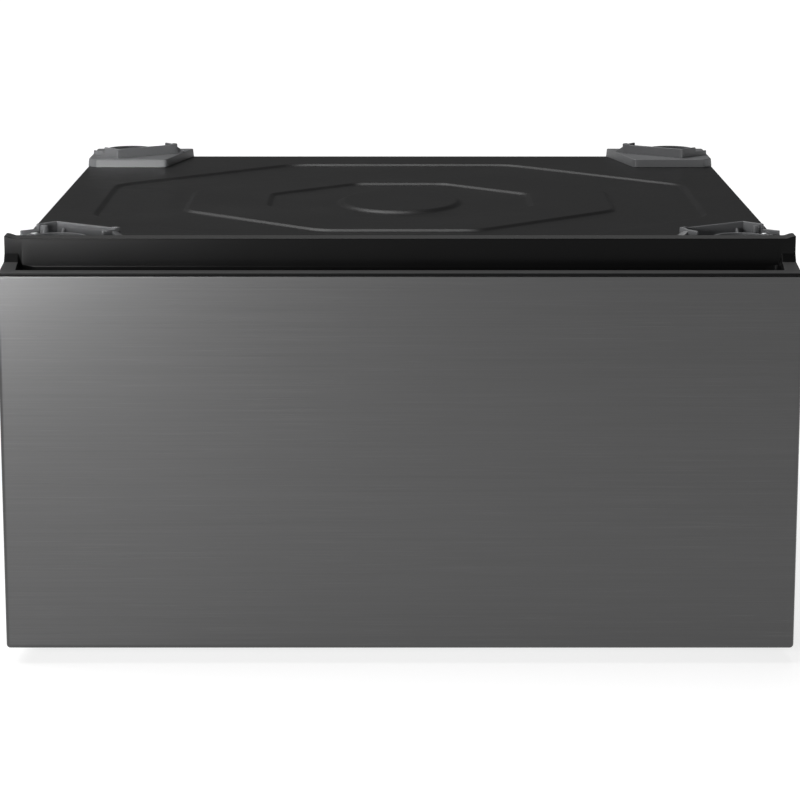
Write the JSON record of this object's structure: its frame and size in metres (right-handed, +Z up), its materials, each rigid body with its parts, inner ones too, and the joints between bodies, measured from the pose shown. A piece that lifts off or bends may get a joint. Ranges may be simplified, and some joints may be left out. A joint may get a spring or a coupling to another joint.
{
  "type": "laundry pedestal with storage drawer",
  "caption": "Low cabinet that raises a front load machine, with a wide pull-out storage drawer, foot holders on its deck and levelling feet.",
  "frame": {"origin": "on the floor, under the middle of the pedestal's outer box", "axes": "+X to the right seen from the front, +Y from the drawer front to the rear panel, +Z up"},
  "size_m": [0.6858, 0.795, 0.3687],
  "materials": {
    "black_paint": "satin black paint on pressed steel",
    "black_plastic": "satin moulded black plastic",
    "grey_plastic": "moulded mid grey plastic",
    "dark_stainless": "dark stainless steel, brushed from side to side",
    "zinc_steel": "zinc plated steel",
    "drawer_steel": "grey powder coated steel",
    "cage_plastic": "natural nylon",
    "black_rubber": "moulded black rubber"
  },
  "bodies": {
    "cabinet": {"top_deck": "black_paint", "left_side_panel": "black_paint", "right_side_panel": "black_paint", "rear_panel": "black_paint", "front_top_rail": "zinc_steel", "front_bottom_rail": "zinc_steel", "rear_bottom_rail": "zinc_steel", "left_base_rail": "zinc_steel", "right_base_rail": "zinc_steel", "deck_brace_front": "zinc_steel", "deck_brace_rear": "zinc_steel", "foot_holder_front_left": "grey_plastic", "holder_screw_front_left_1": "zinc_steel", "holder_screw_front_left_2": "zinc_steel", "foot_nut_front_left": "zinc_steel", "foot_holder_front_right": "grey_plastic", "holder_screw_front_right_1": "zinc_steel", "holder_screw_front_right_2": "zinc_steel", "foot_nut_front_right": "zinc_steel", "foot_holder_rear_left": "grey_plastic", "holder_screw_rear_left_1": "zinc_steel", "holder_screw_rear_left_2": "zinc_steel", "foot_nut_rear_left": "zinc_steel", "foot_holder_rear_right": "grey_plastic", "holder_screw_rear_right_1": "zinc_steel", "holder_screw_rear_right_2": "zinc_steel", "foot_nut_rear_right": "zinc_steel", "slide_bracket_left": "zinc_steel", "slide_outer_left": "zinc_steel", "bumper_left": "black_rubber", "slide_bracket_right": "zinc_steel", "slide_outer_right": "zinc_steel", "bumper_right": "black_rubber"},
    "drawer": {"front_panel": "dark_stainless", "front_backing": "black_plastic", "handle_cap": "black_plastic", "drawer_bottom": "drawer_steel", "drawer_left_wall": "drawer_steel", "drawer_right_wall": "drawer_steel", "drawer_rear_wall": "drawer_steel", "slide_inner_left": "zinc_steel", "front_screw_left_1": "zinc_steel", "front_screw_left_2": "zinc_steel", "slide_inner_right": "zinc_steel", "front_screw_right_1": "zinc_steel", "front_screw_right_2": "zinc_steel"},
    "middle_rails": {"slide_middle_left": "zinc_steel", "slide_middle_right": "zinc_steel"},
    "outer_cages": {"outer_cage_left": "cage_plastic", "outer_cage_right": "cage_plastic"},
    "inner_cages": {"inner_cage_left": "cage_plastic", "inner_cage_right": "cage_plastic"},
    "foot_pad_front_left": {"foot_pad_front_left": "black_rubber"},
    "foot_stem_front_left": {"foot_stem_front_left": "zinc_steel"},
    "foot_pad_front_right": {"foot_pad_front_right": "black_rubber"},
    "foot_stem_front_right": {"foot_stem_front_right": "zinc_steel"},
    "foot_pad_rear_left": {"foot_pad_rear_left": "black_rubber"},
    "foot_stem_rear_left": {"foot_stem_rear_left": "zinc_steel"},
    "foot_pad_rear_right": {"foot_pad_rear_right": "black_rubber"},
    "foot_stem_rear_right": {"foot_stem_rear_right": "zinc_steel"}
  },
  "joints": [
    {"name": "drawer_slide", "type": "slide", "parent": "cabinet", "child": "drawer", "axis": [0, -1, 0], "range_m": [0, 0.5]},
    {"name": "middle_rail_slide", "type": "slide", "parent": "cabinet", "child": "middle_rails", "axis": [0, -1, 0], "range_m": [0, 0.25]},
    {"name": "outer_cage_roll", "type": "slide", "parent": "cabinet", "child": "outer_cages", "axis": [0, -1, 0], "range_m": [0, 0.125]},
    {"name": "inner_cage_roll", "type": "slide", "parent": "cabinet", "child": "inner_cages", "axis": [0, -1, 0], "range_m": [0, 0.375]},
    {"name": "foot_height_front_left", "type": "slide", "parent": "cabinet", "child": "foot_pad_front_left", "axis": [0, 0, -1], "range_m": [0, 0.012]},
    {"name": "stem_turn_front_left", "type": "hinge", "parent": "foot_pad_front_left", "child": "foot_stem_front_left", "pos_m": [-0.316, -0.2975, 0.026], "axis": [0, 0, -1], "range_deg": [0, 2885]},
    {"name": "foot_height_front_right", "type": "slide", "parent": "cabinet", "child": "foot_pad_front_right", "axis": [0, 0, -1], "range_m": [0, 0.012]},
    {"name": "stem_turn_front_right", "type": "hinge", "parent": "foot_pad_front_right", "child": "foot_stem_front_right", "pos_m": [0.316, -0.2975, 0.026], "axis": [0, 0, -1], "range_deg": [0, 2885]},
    {"name": "foot_height_rear_left", "type": "slide", "parent": "cabinet", "child": "foot_pad_rear_left", "axis": [0, 0, -1], "range_m": [0, 0.012]},
    {"name": "stem_turn_rear_left", "type": "hinge", "parent": "foot_pad_rear_left", "child": "foot_stem_rear_left", "pos_m": [-0.316, 0.3525, 0.026], "axis": [0, 0, -1], "range_deg": [0, 2885]},
    {"name": "foot_height_rear_right", "type": "slide", "parent": "cabinet", "child": "foot_pad_rear_right", "axis": [0, 0, -1], "range_m": [0, 0.012]},
    {"name": "stem_turn_rear_right", "type": "hinge", "parent": "foot_pad_rear_right", "child": "foot_stem_rear_right", "pos_m": [0.316, 0.3525, 0.026], "axis": [0, 0, -1], "range_deg": [0, 2885]}
  ],
  "couplings": [
    {"joint": "middle_rail_slide", "follows": "drawer_slide", "ratio": 0.5},
    {"joint": "outer_cage_roll", "follows": "drawer_slide", "ratio": 0.25},
    {"joint": "inner_cage_roll", "follows": "drawer_slide", "ratio": 0.75},
    {"joint": "stem_turn_front_left", "follows": "foot_height_front_left", "rad_per_m": 4188.8},
    {"joint": "stem_turn_front_right", "follows": "foot_height_front_right", "rad_per_m": 4188.8},
    {"joint": "stem_turn_rear_left", "follows": "foot_height_rear_left", "rad_per_m": 4188.8},
    {"joint": "stem_turn_rear_right", "follows": "foot_height_rear_right", "rad_per_m": 4188.8}
  ]
}
